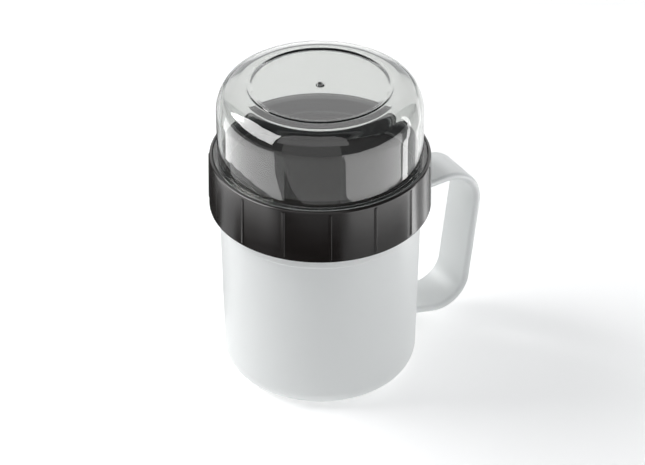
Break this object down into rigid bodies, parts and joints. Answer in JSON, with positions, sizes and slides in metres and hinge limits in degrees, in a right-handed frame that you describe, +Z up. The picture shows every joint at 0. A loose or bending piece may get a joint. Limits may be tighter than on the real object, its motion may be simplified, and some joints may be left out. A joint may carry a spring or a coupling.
{
  "type": "two-compartment mug to go",
  "caption": "Double-walled mug with a strap handle, a dark screw collar with a floor, and a clear cup that screws upside down into the collar.",
  "frame": {"origin": "centre of the mug's underside, on the axis of the mug and its screw threads", "axes": "+Z up along the axis of the mug, +X from the axis towards the handle, +Y to the left of someone looking along +X"},
  "size_m": [0.1368, 0.1055, 0.1534],
  "materials": {
    "white_plastic": "satin",
    "smoke_plastic": "gloss",
    "clear_plastic": "gloss",
    "silicone": "matte"
  },
  "bodies": {
    "mug": {"mug_shell": "white_plastic", "base_plate": "white_plastic", "mug_liner": "white_plastic", "handle": "white_plastic"},
    "lower_seal": {"mug_seal": "silicone"},
    "collar": {"screw_collar": "smoke_plastic"},
    "upper_seal": {"cup_seal": "silicone"},
    "cup": {"clear_cup": "clear_plastic"}
  },
  "joints": [
    {"name": "collar_rise", "type": "slide", "parent": "mug", "child": "lower_seal", "axis": [0, 0, 1], "range_m": [0, 0.018]},
    {"name": "collar_turn", "type": "hinge", "parent": "lower_seal", "child": "collar", "pos_m": [0, 0, 0.1], "axis": [0, 0, 1], "range_deg": [0, 540]},
    {"name": "cup_rise", "type": "slide", "parent": "collar", "child": "upper_seal", "axis": [0, 0, 1], "range_m": [0, 0.01125]},
    {"name": "cup_turn", "type": "hinge", "parent": "upper_seal", "child": "cup", "pos_m": [0, 0, 0.115], "axis": [0, 0, 1], "range_deg": [0, 450]}
  ],
  "couplings": [
    {"joint": "collar_rise", "follows": "collar_turn", "m_per_rad": 0.0019099},
    {"joint": "cup_rise", "follows": "cup_turn", "m_per_rad": 0.0014324}
  ]
}
